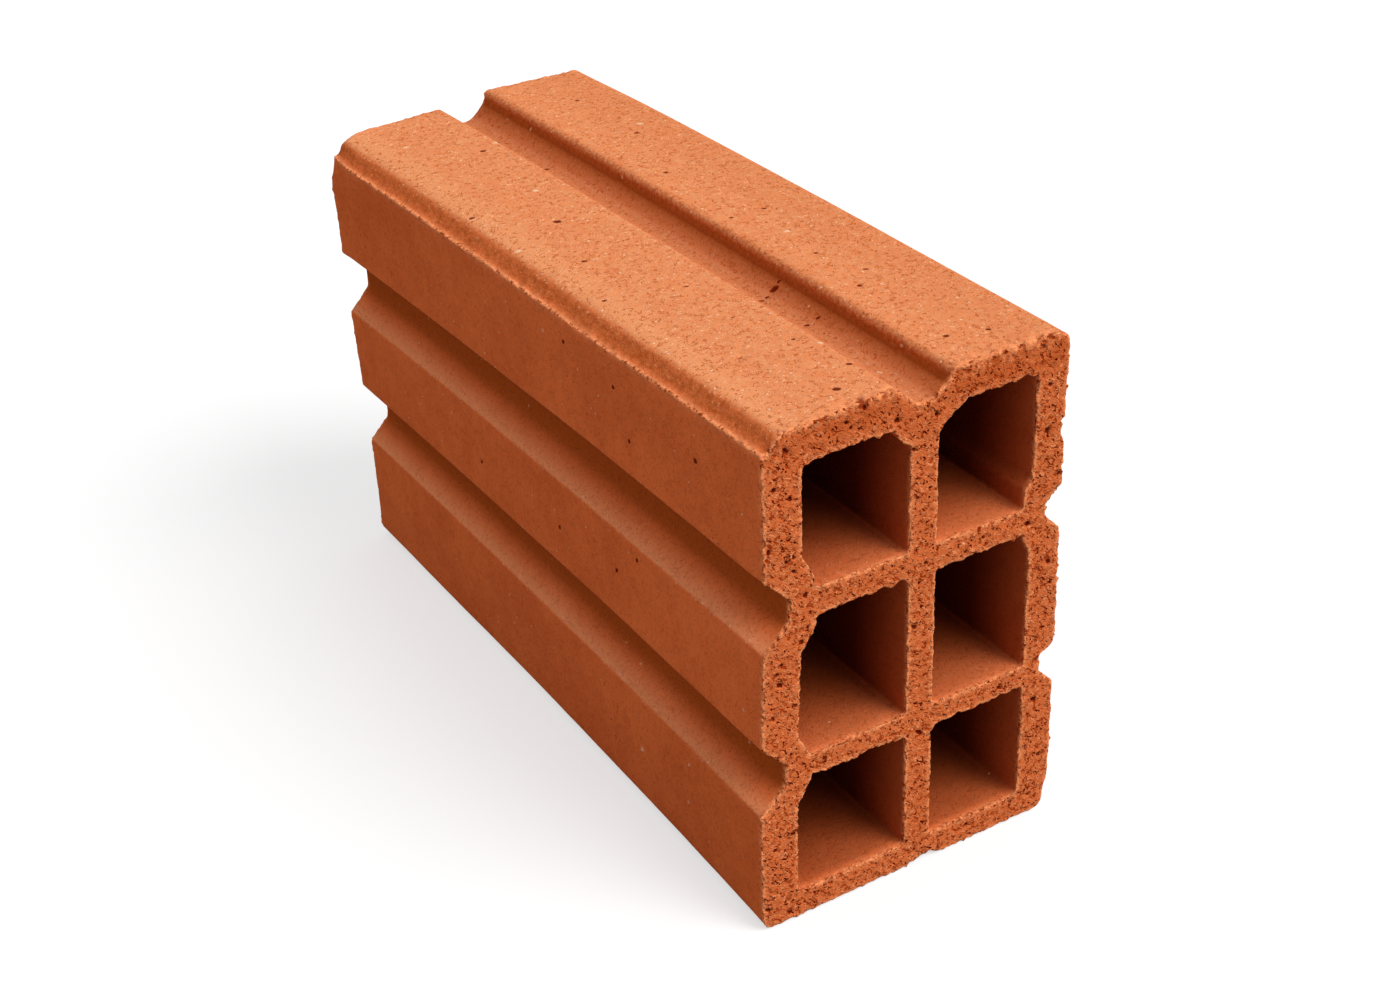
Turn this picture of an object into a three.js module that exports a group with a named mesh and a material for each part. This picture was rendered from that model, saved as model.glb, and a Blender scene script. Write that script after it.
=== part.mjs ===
// Hollow clay brick with six through cells, in two columns and three rows.
//
// The brick is one piece of fired clay. A die gives it its section, a wire cuts it to length, and every
// cell, groove and rounded edge runs straight from one cut to the other. So it is drawn here the way it is
// made: one section, with its cells, extruded along the brick's length.
//
// Millimetres. X runs across the brick, Y along it and Z up. The origin is the middle of the bed face.
// Inside the section, x is counted from the left side and z from the bed.

import * as THREE from 'three';

// ---- Length, walls and webs ----

const LENGTH = 240;

const WALL_LEFT = 10.8;
const WALL_RIGHT = 10;
const ROOF = 9.2;
const FLOOR = 7.9;
const WEB_UPRIGHT = 8.2;
const WEB_LOW = 6.4;
const WEB_HIGH = 7.4;

// ---- Clear width of the two columns of cells, and clear height of the three rows ----

const COLUMN_LEFT = 31.5;
const COLUMN_RIGHT = 29.5;
const ROW_LOW = 34.9;
const ROW_MIDDLE = 40.1;
const ROW_HIGH = 37.1;

// ---- Keying grooves, level with the two level webs ----

const LEFT_GROOVE_MOUTH = 20.4;
const LEFT_GROOVE_FLOOR = 6.4;
const LEFT_GROOVE_DEPTH = 7.1;

const RIGHT_GROOVE_FLOOR = 5;
const RIGHT_GROOVE_LOW_FLANK = 4.7;
const RIGHT_GROOVE_HIGH_FLANK = 2.9;
const RIGHT_GROOVE_DEPTH = 4.8;
const RIGHT_GROOVE_RISE = 1.9;

const GROOVE_ROOT_FILLET = 2.8;
const GROOVE_TOP_EDGE_FILLET = 0.8;
const GROOVE_LOW_EDGE_FILLET = 1.8;

// ---- Groove along the top, over the upright web: a long sloping flank and a short steep one ----

const TOP_GROOVE_DEPTH = 7;
const TOP_GROOVE_FLOOR = 3.7;
const TOP_GROOVE_LONG_FLANK = 7;
const TOP_GROOVE_SHORT_FLANK = 5.2;
const TOP_GROOVE_CHEEK = 3.4;
const TOP_GROOVE_ROOT_FILLET = 5;
const TOP_GROOVE_SHARP_EDGE_FILLET = 0.8;
const TOP_GROOVE_ROUND_EDGE_FILLET = 2.2;

// ---- Shallow channel along the bed, and drag line that the die leaves along the right side ----

const BED_CHANNEL_WIDTH = 10;
const BED_CHANNEL_FLOOR = 3.6;
const BED_CHANNEL_DEPTH = 1.7;
const BED_CHANNEL_OFFSET = 2.4;
const BED_CHANNEL_FILLET = 3;

const DRAG_LINE_WIDTH = 9.4;
const DRAG_LINE_DEPTH = 1.5;
const DRAG_LINE_ABOVE_WEB = 23.9;
const DRAG_LINE_FILLET = 4;

// ---- Top to the left of its groove: it lies a step lower, falls towards the side and ends in a lip ----

const LEFT_LAND_STEP = 0.8;
const LEFT_LAND_FALL = 2;
const HIGH_LEFT_CEILING_DROP = 2.5;

const LIP_SET_BACK = 4.7;
const LIP_DROP = 4.1;
const LIP_SHELF_WIDTH = 1.8;
const LIP_SHELF_RISE = 0.3;
const LIP_SHOULDER_FILLET = 3.8;
const LIP_ROOT_FILLET = 2.2;
const LIP_CREST_FILLET = 0.3;

// ---- Outer corners ----

const BED_LEFT_FILLET = 3.6;
const BED_RIGHT_FILLET = 2.8;
const BED_RIGHT_DRAW_IN = 2;
const BED_RIGHT_DRAW_HEIGHT = 12;
const BED_RIGHT_DRAW_FILLET = 20;
const TOP_RIGHT_FILLET = 3.8;

// ---- Corners of the cells ----

// A corner beside a groove is filled, so that the wall stays thick there. The fill stands out from the wall
// by its depth. It is reached over the slant, and an upright stretch is left between the slant and the web.
const FILL_OVER_HIGH_LEFT = { depth: 3.5, slant: 6.2, upright: 3.4 };
const FILL_UNDER_HIGH_LEFT = { depth: 4, slant: 5.4, upright: 3.6 };
const FILL_OVER_LOW_LEFT = { depth: 3, slant: 4.2, upright: 1.8 };
const FILL_UNDER_LOW_LEFT = { depth: 4.2, slant: 6.4, upright: 1.2 };
const FILL_OVER_HIGH_RIGHT = { depth: 2.4, slant: 3.4, upright: 5.4 };
const FILL_UNDER_HIGH_RIGHT = { depth: 2.2, slant: 4.8, upright: 1.2 };

// Beside the top groove the cells' upper corners are bevelled.
const BEVEL_LEFT_OF_TOP_GROOVE = { depth: 5.9, slant: 5.6, upright: 0 };
const BEVEL_RIGHT_OF_TOP_GROOVE = { depth: 8.2, slant: 6.6, upright: 0 };

const FILL_FILLET = 1.6;
const CELL_FILLET = 1.4;
const CELL_LOW_RIGHT_FILLET = 2.6;
const CELL_LIP_FILLET = 2.8;

const ARC_SEGMENTS = 4;

// ---- Places that follow from these sizes ----

const webLeftSide = WALL_LEFT + COLUMN_LEFT;
const webRightSide = webLeftSide + WEB_UPRIGHT;
const webMiddle = (webLeftSide + webRightSide) / 2;
const rightWallInside = webRightSide + COLUMN_RIGHT;
const width = rightWallInside + WALL_RIGHT;

const lowCeiling = FLOOR + ROW_LOW;
const middleFloor = lowCeiling + WEB_LOW;
const middleCeiling = middleFloor + ROW_MIDDLE;
const highFloor = middleCeiling + WEB_HIGH;
const highCeiling = highFloor + ROW_HIGH;
const highLeftCeiling = highCeiling - HIGH_LEFT_CEILING_DROP;
const height = highCeiling + ROOF;
const leftLandEdge = height - LEFT_LAND_STEP;
const lipShoulder = leftLandEdge - LEFT_LAND_FALL;

const lowWebMiddle = (lowCeiling + middleFloor) / 2;
const highWebMiddle = (middleCeiling + highFloor) / 2;

// ---- Paths with rounded corners ----

// Adds one corner, [x, z, fillet radius], to a path as an arc that leaves both of its sides as tangents.
// The arc takes less than half of the shorter side, so a fillet is limited by the wall it stands in.
function addCorner(path, before, corner, after) {
  const tip = new THREE.Vector2(corner[0], corner[1]);
  const back = new THREE.Vector2(before[0], before[1]).sub(tip);
  const ahead = new THREE.Vector2(after[0], after[1]).sub(tip);
  const halfAngle = Math.acos(back.dot(ahead) / (back.length() * ahead.length())) / 2;
  const longestReach = 0.49 * Math.min(back.length(), ahead.length());
  const reach = Math.min(corner[2] / Math.tan(halfAngle), longestReach);
  const radius = reach * Math.tan(halfAngle);

  const start = tip.clone().add(back.clone().setLength(reach));
  const end = tip.clone().add(ahead.clone().setLength(reach));
  const bisector = back.clone().normalize().add(ahead.clone().normalize());
  const centre = tip.clone().add(bisector.setLength(radius / Math.sin(halfAngle)));
  const turnsRight = back.cross(ahead) > 0;
  path.absarc(
    centre.x,
    centre.y,
    radius,
    start.clone().sub(centre).angle(),
    end.clone().sub(centre).angle(),
    turnsRight,
  );
}

function roundedPath(path, corners) {
  corners.forEach((corner, index) => {
    addCorner(path, corners.at(index - 1), corner, corners[(index + 1) % corners.length]);
  });
  path.closePath();
  return path;
}

// ---- Outline of the brick, anticlockwise from the left end of the bed ----

function bedCorners() {
  const middle = webMiddle + BED_CHANNEL_OFFSET;
  return [
    [0, 0, BED_LEFT_FILLET],
    [middle - BED_CHANNEL_WIDTH / 2, 0, BED_CHANNEL_FILLET],
    [middle - BED_CHANNEL_FLOOR / 2, BED_CHANNEL_DEPTH, BED_CHANNEL_FILLET],
    [middle + BED_CHANNEL_FLOOR / 2, BED_CHANNEL_DEPTH, BED_CHANNEL_FILLET],
    [middle + BED_CHANNEL_WIDTH / 2, 0, BED_CHANNEL_FILLET],
    [width - BED_RIGHT_DRAW_IN, 0, BED_RIGHT_FILLET],
    [width, BED_RIGHT_DRAW_HEIGHT, BED_RIGHT_DRAW_FILLET],
  ];
}

function rightGroove(webLevel) {
  const root = width - RIGHT_GROOVE_DEPTH;
  const floorBottom = webLevel + RIGHT_GROOVE_RISE - RIGHT_GROOVE_FLOOR / 2;
  const floorTop = floorBottom + RIGHT_GROOVE_FLOOR;
  return [
    [width, floorBottom - RIGHT_GROOVE_LOW_FLANK, GROOVE_LOW_EDGE_FILLET],
    [root, floorBottom, GROOVE_ROOT_FILLET],
    [root, floorTop, GROOVE_ROOT_FILLET],
    [width, floorTop + RIGHT_GROOVE_HIGH_FLANK, GROOVE_TOP_EDGE_FILLET],
  ];
}

function dragLine() {
  const level = highWebMiddle + DRAG_LINE_ABOVE_WEB;
  return [
    [width, level - DRAG_LINE_WIDTH / 2, DRAG_LINE_FILLET],
    [width - DRAG_LINE_DEPTH, level, DRAG_LINE_FILLET],
    [width, level + DRAG_LINE_WIDTH / 2, DRAG_LINE_FILLET],
  ];
}

function topGroove() {
  const root = height - TOP_GROOVE_DEPTH;
  const rootRight = webMiddle + TOP_GROOVE_FLOOR / 2;
  const rootLeft = webMiddle - TOP_GROOVE_FLOOR / 2;
  const cheek = rootRight + TOP_GROOVE_SHORT_FLANK;
  return [
    [cheek, height, TOP_GROOVE_ROUND_EDGE_FILLET],
    [cheek, height - TOP_GROOVE_CHEEK, TOP_GROOVE_ROOT_FILLET],
    [rootRight, root, TOP_GROOVE_ROOT_FILLET],
    [rootLeft, root, TOP_GROOVE_ROOT_FILLET],
    [rootLeft - TOP_GROOVE_LONG_FLANK, leftLandEdge, TOP_GROOVE_SHARP_EDGE_FILLET],
  ];
}

function lip() {
  const crest = lipShoulder - LIP_DROP;
  return [
    [LIP_SET_BACK, lipShoulder, LIP_SHOULDER_FILLET],
    [LIP_SHELF_WIDTH, crest + LIP_SHELF_RISE, LIP_ROOT_FILLET],
    [0, crest, LIP_CREST_FILLET],
  ];
}

function leftGroove(webLevel) {
  return [
    [0, webLevel + LEFT_GROOVE_MOUTH / 2, GROOVE_TOP_EDGE_FILLET],
    [LEFT_GROOVE_DEPTH, webLevel + LEFT_GROOVE_FLOOR / 2, GROOVE_ROOT_FILLET],
    [LEFT_GROOVE_DEPTH, webLevel - LEFT_GROOVE_FLOOR / 2, GROOVE_ROOT_FILLET],
    [0, webLevel - LEFT_GROOVE_MOUTH / 2, GROOVE_LOW_EDGE_FILLET],
  ];
}

function outlineCorners() {
  return [
    ...bedCorners(),
    ...rightGroove(lowWebMiddle),
    ...rightGroove(highWebMiddle),
    ...dragLine(),
    [width, height, TOP_RIGHT_FILLET],
    ...topGroove(),
    ...lip(),
    ...leftGroove(highWebMiddle),
    ...leftGroove(lowWebMiddle),
  ];
}

// ---- Cells ----

const rounded = (fillet = CELL_FILLET) => ({ fillet });

// One corner of a cell, listed from the side wall towards the floor or ceiling. toInside and toMiddle are
// 1 or -1: the ways along x and z from the corner into the cell.
function cellCorner(x, z, toInside, toMiddle, form) {
  if (form.fillet) {
    return [[x, z, form.fillet]];
  }
  const face = x + toInside * form.depth;
  const slantEnd = z + toMiddle * form.upright;
  const slantStart = slantEnd + toMiddle * form.slant;
  const corners = [
    [x, slantStart, FILL_FILLET],
    [face, slantEnd, FILL_FILLET],
  ];
  if (form.upright > 0) {
    corners.push([face, z, FILL_FILLET]);
  }
  return corners;
}

function cell(left, right, floor, ceiling, forms) {
  const corners = [
    ...cellCorner(left, floor, 1, 1, forms.floorLeft ?? rounded()),
    ...cellCorner(right, floor, -1, 1, forms.floorRight ?? rounded()).reverse(),
    ...cellCorner(right, ceiling, -1, -1, forms.ceilingRight ?? rounded()),
    ...cellCorner(left, ceiling, 1, -1, forms.ceilingLeft ?? rounded()).reverse(),
  ];
  return roundedPath(new THREE.Path(), corners);
}

function cells() {
  const leftColumn = [WALL_LEFT, webLeftSide];
  const rightColumn = [webRightSide, rightWallInside];
  const lowRow = [FLOOR, lowCeiling];
  const middleRow = [middleFloor, middleCeiling];
  const highRow = [highFloor, highCeiling];
  const highLeftRow = [highFloor, highLeftCeiling];
  return [
    cell(...leftColumn, ...lowRow, { ceilingLeft: FILL_UNDER_LOW_LEFT }),
    cell(...rightColumn, ...lowRow, {
      floorRight: rounded(CELL_LOW_RIGHT_FILLET),
      ceilingLeft: rounded(CELL_LOW_RIGHT_FILLET),
    }),
    cell(...leftColumn, ...middleRow, {
      floorLeft: FILL_OVER_LOW_LEFT,
      ceilingLeft: FILL_UNDER_HIGH_LEFT,
    }),
    cell(...rightColumn, ...middleRow, { ceilingRight: FILL_UNDER_HIGH_RIGHT }),
    cell(...leftColumn, ...highLeftRow, {
      floorLeft: FILL_OVER_HIGH_LEFT,
      ceilingRight: BEVEL_LEFT_OF_TOP_GROOVE,
      ceilingLeft: rounded(CELL_LIP_FILLET),
    }),
    cell(...rightColumn, ...highRow, {
      floorRight: FILL_OVER_HIGH_RIGHT,
      ceilingLeft: BEVEL_RIGHT_OF_TOP_GROOVE,
    }),
  ];
}

// ---- The brick ----

function brickGeometry() {
  const section = roundedPath(new THREE.Shape(), outlineCorners());
  section.holes = cells();
  const geometry = new THREE.ExtrudeGeometry(section, {
    depth: LENGTH,
    curveSegments: ARC_SEGMENTS,
    bevelEnabled: false,
  });
  // The section was drawn in x and y and extruded along z. Stand it up, with its length along Y.
  geometry.rotateX(Math.PI / 2);
  geometry.translate(-width / 2, LENGTH / 2, 0);
  return geometry;
}

const clay = new THREE.MeshStandardMaterial({ color: 0xc4683f, roughness: 0.9, metalness: 0 });

const brick = new THREE.Mesh(brickGeometry(), clay);
brick.name = 'brick';

const part = new THREE.Group();
part.add(brick);

export default part;
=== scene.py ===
"""A hollow clay brick on a pale studio floor.

The brick is one mesh, spread over the outlines of the CAD node's cut end: a die-formed skin that
runs along the length, and two wire-cut ends, granular and torn along their arrises. The relief,
the pores and the crumbs are in the mesh; the clay's colour, grain and bump are in its material,
which also paints shade into the grooves, cells and pores and highlights on the lips and rims.
Lengths are in millimetres until the mesh is made.
"""
import math
from collections import namedtuple
from functools import reduce
from itertools import product
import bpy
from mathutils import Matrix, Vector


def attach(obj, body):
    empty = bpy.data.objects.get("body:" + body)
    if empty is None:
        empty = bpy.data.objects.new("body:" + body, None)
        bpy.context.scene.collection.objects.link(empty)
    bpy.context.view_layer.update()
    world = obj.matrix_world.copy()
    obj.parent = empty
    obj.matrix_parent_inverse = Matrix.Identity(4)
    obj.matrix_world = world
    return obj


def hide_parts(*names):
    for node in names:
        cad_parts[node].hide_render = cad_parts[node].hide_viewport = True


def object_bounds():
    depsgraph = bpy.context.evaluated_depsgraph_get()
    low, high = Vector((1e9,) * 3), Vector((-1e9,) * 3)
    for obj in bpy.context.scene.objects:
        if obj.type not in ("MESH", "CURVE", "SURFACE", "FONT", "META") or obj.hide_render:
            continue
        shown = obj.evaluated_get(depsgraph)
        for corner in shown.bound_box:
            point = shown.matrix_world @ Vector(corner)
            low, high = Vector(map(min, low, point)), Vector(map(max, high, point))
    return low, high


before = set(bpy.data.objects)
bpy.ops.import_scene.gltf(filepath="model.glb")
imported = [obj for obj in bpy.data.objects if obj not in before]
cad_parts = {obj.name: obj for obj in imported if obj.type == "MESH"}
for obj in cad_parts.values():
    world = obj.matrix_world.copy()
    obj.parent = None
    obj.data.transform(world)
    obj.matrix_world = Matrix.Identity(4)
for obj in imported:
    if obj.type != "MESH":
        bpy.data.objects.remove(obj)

from types import SimpleNamespace

import bpy
import numpy as np
from mathutils import Matrix, Vector, kdtree
from mathutils.geometry import delaunay_2d_cdt

MM = 0.001
CAD_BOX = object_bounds()
HALF_LENGTH = CAD_BOX[1].y / MM
HEIGHT = CAD_BOX[1].z / MM
HALF_WIDTH = CAD_BOX[1].x / MM
FRONT, BACK = -1, 1
SEED = 7

# The wire went up and to the left through the front end, and tore the arrises it left by.
WIRE_WAY = np.array([-0.79, 0.61])
WIRE_ANGLE = math.atan2(WIRE_WAY[1], WIRE_WAY[0])

# The step in which the outlines are walked, and the width of the bell that smooths them
OUTLINE_STEP = 0.1
OUTLINE_BLUR = 0.22
# Columns of a skin: a span apart, or by this turn at a bend, but no less than the least span
MOST_TURN = math.radians(13)
LEAST_SPAN = 0.3
OUTER_SPAN = 3.0
CELL_SPAN = 5.0
# Rows of a skin: their spacing in the middle; near the ends, distance from it and points' spacing
OUTER_ROW = 3.2
CELL_ROW = 9.0
FRONT_ROWS = ((0.3, 0.57), (0.65, 0.57), (1.1, 0.75), (1.8, 1.0), (3.0, 1.6), (5.0, 2.4))
BACK_ROWS = ((0.4, 0.95), (0.9, 0.95), (1.6, 1.3), (2.8, 1.9), (4.6, 2.6))
# Outward bends sharper than this, in radians a millimetre, have rows this close.
RIM_BEND = 0.35
RIM_ROW = 1.3
# The most points that are looked up at once, to spare memory
MOST_AT_ONCE = 2000
# Spacing of the points on the cut ends, and as shares of it: their jitter, the inset of the row
# that lines the outlines, and how clear of those the grid and the pores keep
FRONT_GRAIN = 0.57
BACK_GRAIN = 1.0
JITTER = 0.24
LINING = 0.5
GRID_CLEARANCE = 0.95
PORE_CLEARANCE = 0.3

# Scales of the cut ends and the cells on the texture's sheet, the outer skin's being 1, and gaps
END_SCALE = 1.8
CELL_SCALE = 0.5
SHEET_GAP = 2.5

# The fired block's own bend. It bows up and to the right at mid-length.
BOW_RIGHT = 0.9
BOW_UP = 0.4
# The foot and the head of its left side stand in, or out where below 0: at the front, at the back.
LEFT_FOOT = (-1.6, 1.3)
LEFT_HEAD = (0.8, -0.4)
# Its right side stands out at the foot and in at the top, and the land beside it rises to the back.
RIGHT_LEAN = 0.5
LAND_RISE = 1.9
# Behind the front its lip moves out and down; at the back wear draws in its corner.
LIP_SHIFT = (-0.9, -0.6)
CORNER_WEAR = 1.5

# Radii of the cut ends' arrises: round the block, round the cells, the least and the most, and
# what wear adds at the back end and at its lip's corner
OUTER_ARRIS = 0.45
CELL_ARRIS = 0.32
LEAST_ARRIS, MOST_ARRIS = 0.12, 1.6
BACK_ARRIS_WEAR = 0.35
CORNER_ARRIS_WEAR = 2.4
# How far apart the noise is read for one ring and the next, and for the two ends
ARRIS_STRIDES = (7.7, 3.3)
RIM_STRIDES = (9.1, 4.7)
# How much of the back end's raggedness is left by wear
BACK_WEAR = 0.4
# Heights of the relief: the cells' dragged rims and what their ceilings add, the rims' teeth and
# torn fringe, the nicks of the arrises and of the lip's crest, the cut ends' grain and swell
WALL_RAGGED, CEILING_RAGGED = 0.2, 1.15
TEETH_OUT, TEETH_IN = 0.8, 0.15
FRINGE_OUT, FRINGE_IN = 0.35, 0.30
ARRIS_NICK, CREST_NICK = 0.02, 0.40
CUT_GRAIN, CUT_SWELL = 0.16, 0.22
# Waves of the skin: seed, width across, length along, height
SKIN_WAVES = ((31, 16, 70, 0.2), (32, 5, 40, 0.1), (33, 2, 6, 0.03))
# The heights between which the top's lands and the top's groove set in
TOP_LANDS = (HEIGHT - 4.7, HEIGHT - 3.2)
TOP_GROOVE = (HEIGHT - 9, HEIGHT - 8)

Spot = namedtuple("Spot", "u v radius depth tone stretch angle")
Kind = namedtuple("Kind", "number radius depth tone stretch")
Mark = namedtuple("Mark", "x z y radius depth tone", defaults=(0.3, -1))

# Rings of points round a spot: reach in radii, number, share of the spot's depth
SPOT_RINGS = ((0.0, 1, 1.0), (0.5, 6, 0.85), (1.0, 8, 0.12), (1.4, 9, 0.0))
# How far the net's own points keep from a spot, and other spots do, in radii
SPOT_CLEARANCE = 1.5
SPOT_GAP = 1.6
# Seeded spots: number, radius (least, most), depth in radii (below 0: how proud), tone from dark
# -1 to pale 1, most stretch
SKIN_PITS = Kind(110, (0.25, 0.6), (0.5, 0.9), -0.4, 1.6)
SKIN_CRUMBS = Kind(90, (0.25, 0.6), (-0.5, -0.2), 0.5, 1.5)
LINE_CRUMBS = Kind(40, (0.2, 0.4), (-0.6, -0.2), 0.5, 1.6)
END_PORES = Kind(150, (0.3, 0.85), (0.7, 1.3), -1, 1.9)
# They keep this far from the skin's seam and its ends, and lie in this rectangle of a cut end.
SEAM_MARGIN, END_MARGIN = 2, 7
PORE_FIELD = (-44, 1), (44, HEIGHT - 1)
# Listed marks of the skin are widened, stretched and turned by these, and listed pores stretched.
MARK_WIDTH, MARK_STRETCH, MARK_ANGLE = 1.4, 1.4, 0.6
PORE_STRETCH = 1.3

# Pores of the front cut end: x and z on the section, radius, depth
CUT_PORES = (
    (-6.6, 133.8, 0.9, 1.0), (4.7, 132.0, 0.7, 0.8), (39.3, 117.2, 1.1, 1.2),
    (34.2, 92.3, 0.9, 0.9), (37.5, 102.0, 0.5, 0.6), (-37.5, 123.3, 0.5, 0.6),
    (-36.6, 107.1, 0.5, 0.7), (-36.5, 103.3, 0.6, 0.7), (-38.7, 106.6, 0.5, 0.5),
    (-41.0, 76.5, 0.6, 0.8), (-40.2, 73.3, 0.8, 1.0), (-39.8, 78.8, 0.5, 0.6),
    (-36.8, 2.3, 0.7, 0.8), (0.8, 4.5, 0.6, 0.7), (42.4, 72.5, 0.6, 0.7),
    (-0.6, 97.0, 0.4, 0.5), (20.0, 93.4, 0.5, 0.6), (-4.6, 93.2, 0.5, 0.6),
    (-21.5, 137.6, 0.6, 0.9), (-20.4, 136.0, 0.5, 0.9), (-38.2, 94.5, 0.5, 0.6),
)
# Points of the section along which crumbs cling: the lip's shoulder, the lower lips of the left
# grooves and the right lip of the top's groove
CRUMB_LINES = ((-40.6, 139.7), (-44.6, 83.0), (-44.6, 36.0), (8.9, 142.3))
# Marks of the skin: x and z of a point of the section, distance from the front end and radius, and
# where they aren't the usual ones, depth (below 0: how proud) and tone, from dark -1 to pale 1
SKIN_MARKS = (
    (-29.5, 143, 217, 0.5, -0.1, 1), (-16.5, 143, 159.5, 0.6, -0.1, 1),
    (-7.5, 143, 200.5, 0.6, -0.1, 1), (31.8, 143, 182.5, 0.6, -0.1, 1),
    (21.3, 143, 88, 0.5, -0.1, 1), (-7.5, 143, 30, 0.5, -0.1, 1), (-39.0, 143, 127, 0.5, -0.1, 1),
    (-13.7, 143, 197.5, 0.6), (-38.4, 143, 155.5, 0.5), (-22.2, 143, 136.5, 0.8),
    (-29.3, 143, 109, 0.5), (27.1, 143, 176.5, 0.6, 0.4), (27.2, 143, 213, 0.5),
    (25.1, 143, 105, 0.5), (14.5, 143, 105, 0.4), (19.5, 143, 72, 0.5),
    (17.5, 143, 14, 0.5), (28, 143, 11, 0.5), (-18.0, 143, 9, 0.7), (17.3, 143, 144, 0.5),
    (24.0, 143, 56, 0.5), (17.1, 143, 49, 0.5), (-8.6, 143, 17, 0.5), (-11.8, 143, 36, 0.4),
    (-36.7, 141, 85, 0.4), (-16.5, 143, 78, 0.4), (1.1, 136, 186, 0.5),
    (5.4, 137.5, 70.5, 0.8, 0.5), (7.2, 138.7, 71, 0.4, 0.4), (2.8, 136, 70, 0.4),
    (0.8, 136, 69.5, 0.5, 0.4), (2.0, 136, 50.5, 0.5), (5.0, 137.2, 50, 0.4),
    (-45, 19, 61, 0.6, -0.3, 0.7), (-45, 17, 36.5, 0.4, -0.2, 0.5), (-45, 129, 92, 0.5, 0.4),
    (-45, 126, 67, 0.5, 0.4), (-45, 122, 29, 0.6, 0.5), (-45, 113, 61, 0.5, 0.4),
    (-45, 79, 60, 0.5, 0.4), (-45, 70.5, 71, 0.5, 0.4), (-45, 68, 103, 0.5, 0.4),
    (-45, 67, 151, 0.5),
)


# ---- noise

def lattice(i, j, k, seed):
    """A fixed pseudo-random value from -1 to 1 for each corner of a unit lattice, by a hash."""
    h = (i * 374761393 + j * 668265263 + k * 1440662683 + seed * 1274126177) & 0xFFFFFFFF
    h = ((h ^ (h >> 13)) * 1103515245) & 0xFFFFFFFF
    h = ((h ^ (h >> 15)) * 1274126177) & 0xFFFFFFFF
    return (h ^ (h >> 16)) / 0x7FFFFFFF - 1


def noise(seed, *coordinates):
    """Smooth value noise of unit spacing over up to three coordinates, from -1 to 1."""
    p = np.zeros((3, len(coordinates[0])))
    for row, values in zip(p, coordinates):
        row[:] = values
    cell = np.floor(p).astype(np.int64)
    f = p - cell
    f = f * f * (3 - 2 * f)
    total = 0
    for di, dj, dk in product((0, 1), repeat=3):
        weight = (f[0] if di else 1 - f[0]) * (f[1] if dj else 1 - f[1])
        weight = weight * (f[2] if dk else 1 - f[2])
        total = total + weight * lattice(cell[0] + di, cell[1] + dj, cell[2] + dk, seed)
    return total


def ease(value, low, high):
    """0 below low, 1 above high, and smooth between."""
    t = np.clip((value - low) / (high - low), 0, 1)
    return t * t * (3 - 2 * t)


def fade(value, low, high):
    """1 below low, 0 above high, and smooth between."""
    return ease(-value, -high, -low)


# ---- the section

def cut_outlines(node, weld=0.01):
    """The closed outlines of the node's front end, clay on the left of each, outer one first."""
    mesh = node.data
    co = np.empty(len(mesh.vertices) * 3, np.float32)
    mesh.vertices.foreach_get("co", co)
    grid = np.round(co.reshape(-1, 3).astype(float) / MM / weld).astype(int)
    front = grid[:, 1].min()
    edges = set()
    for face in mesh.polygons:
        corners = [tuple(grid[v]) for v in face.vertices]
        if all(c[1] == front for c in corners):
            flat = [(c[0], c[2]) for c in corners]
            edges.update(zip(flat, flat[1:] + flat[:1]))
    border = {a: b for a, b in edges if (b, a) not in edges}
    chains = []
    while border:
        start = min(border)
        chain, after = [start], border.pop(start)
        while after != start:
            chain.append(after)
            after = border.pop(after)
        chains.append(np.array(chain) * weld)
    chains.sort(key=lambda c: (-np.ptp(c[:, 0]), c[0, 0], c[0, 1]))
    return chains


def flowing(corners, step):
    """The outline with its short facets turned into arcs and its long runs left straight."""
    reach = np.roll(corners, -1, 0) - corners
    length = np.hypot(*reach.T)
    pull = reach * length[:, None]
    tangent = pull + np.roll(pull, 1, 0)
    tangent /= np.hypot(*tangent.T)[:, None]
    curve = []
    for i, span in enumerate(length):
        j = (i + 1) % len(corners)
        count = max(int(span / step), 1)
        t = (np.arange(count) / count)[:, None]
        curve.append((2 * t ** 3 - 3 * t ** 2 + 1) * corners[i]
                     + (3 * t ** 2 - 2 * t ** 3) * corners[j]
                     + (t ** 3 - 2 * t ** 2 + t) * tangent[i] * span
                     + (t ** 3 - t ** 2) * tangent[j] * span)
    return np.concatenate(curve)


def evenly(curve, step):
    """The closed curve in equal steps, and its length."""
    closed = np.vstack([curve, curve[:1]])
    run = np.concatenate([[0], np.cumsum(np.hypot(*np.diff(closed, axis=0).T))])
    count = int(round(run[-1] / step))
    stations = np.arange(count) * run[-1] / count
    return np.stack([np.interp(stations, run, closed[:, c]) for c in (0, 1)], 1), run[-1]


def blurred(values, sigma):
    """Values round a closed curve, smoothed by a bell of this many steps."""
    reach = int(sigma * 4) + 1
    bell = np.exp(-0.5 * (np.arange(-reach, reach + 1) / sigma) ** 2)
    bell /= bell.sum()
    return sum(w * np.roll(values, k, 0) for k, w in zip(range(-reach, reach + 1), bell))


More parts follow.
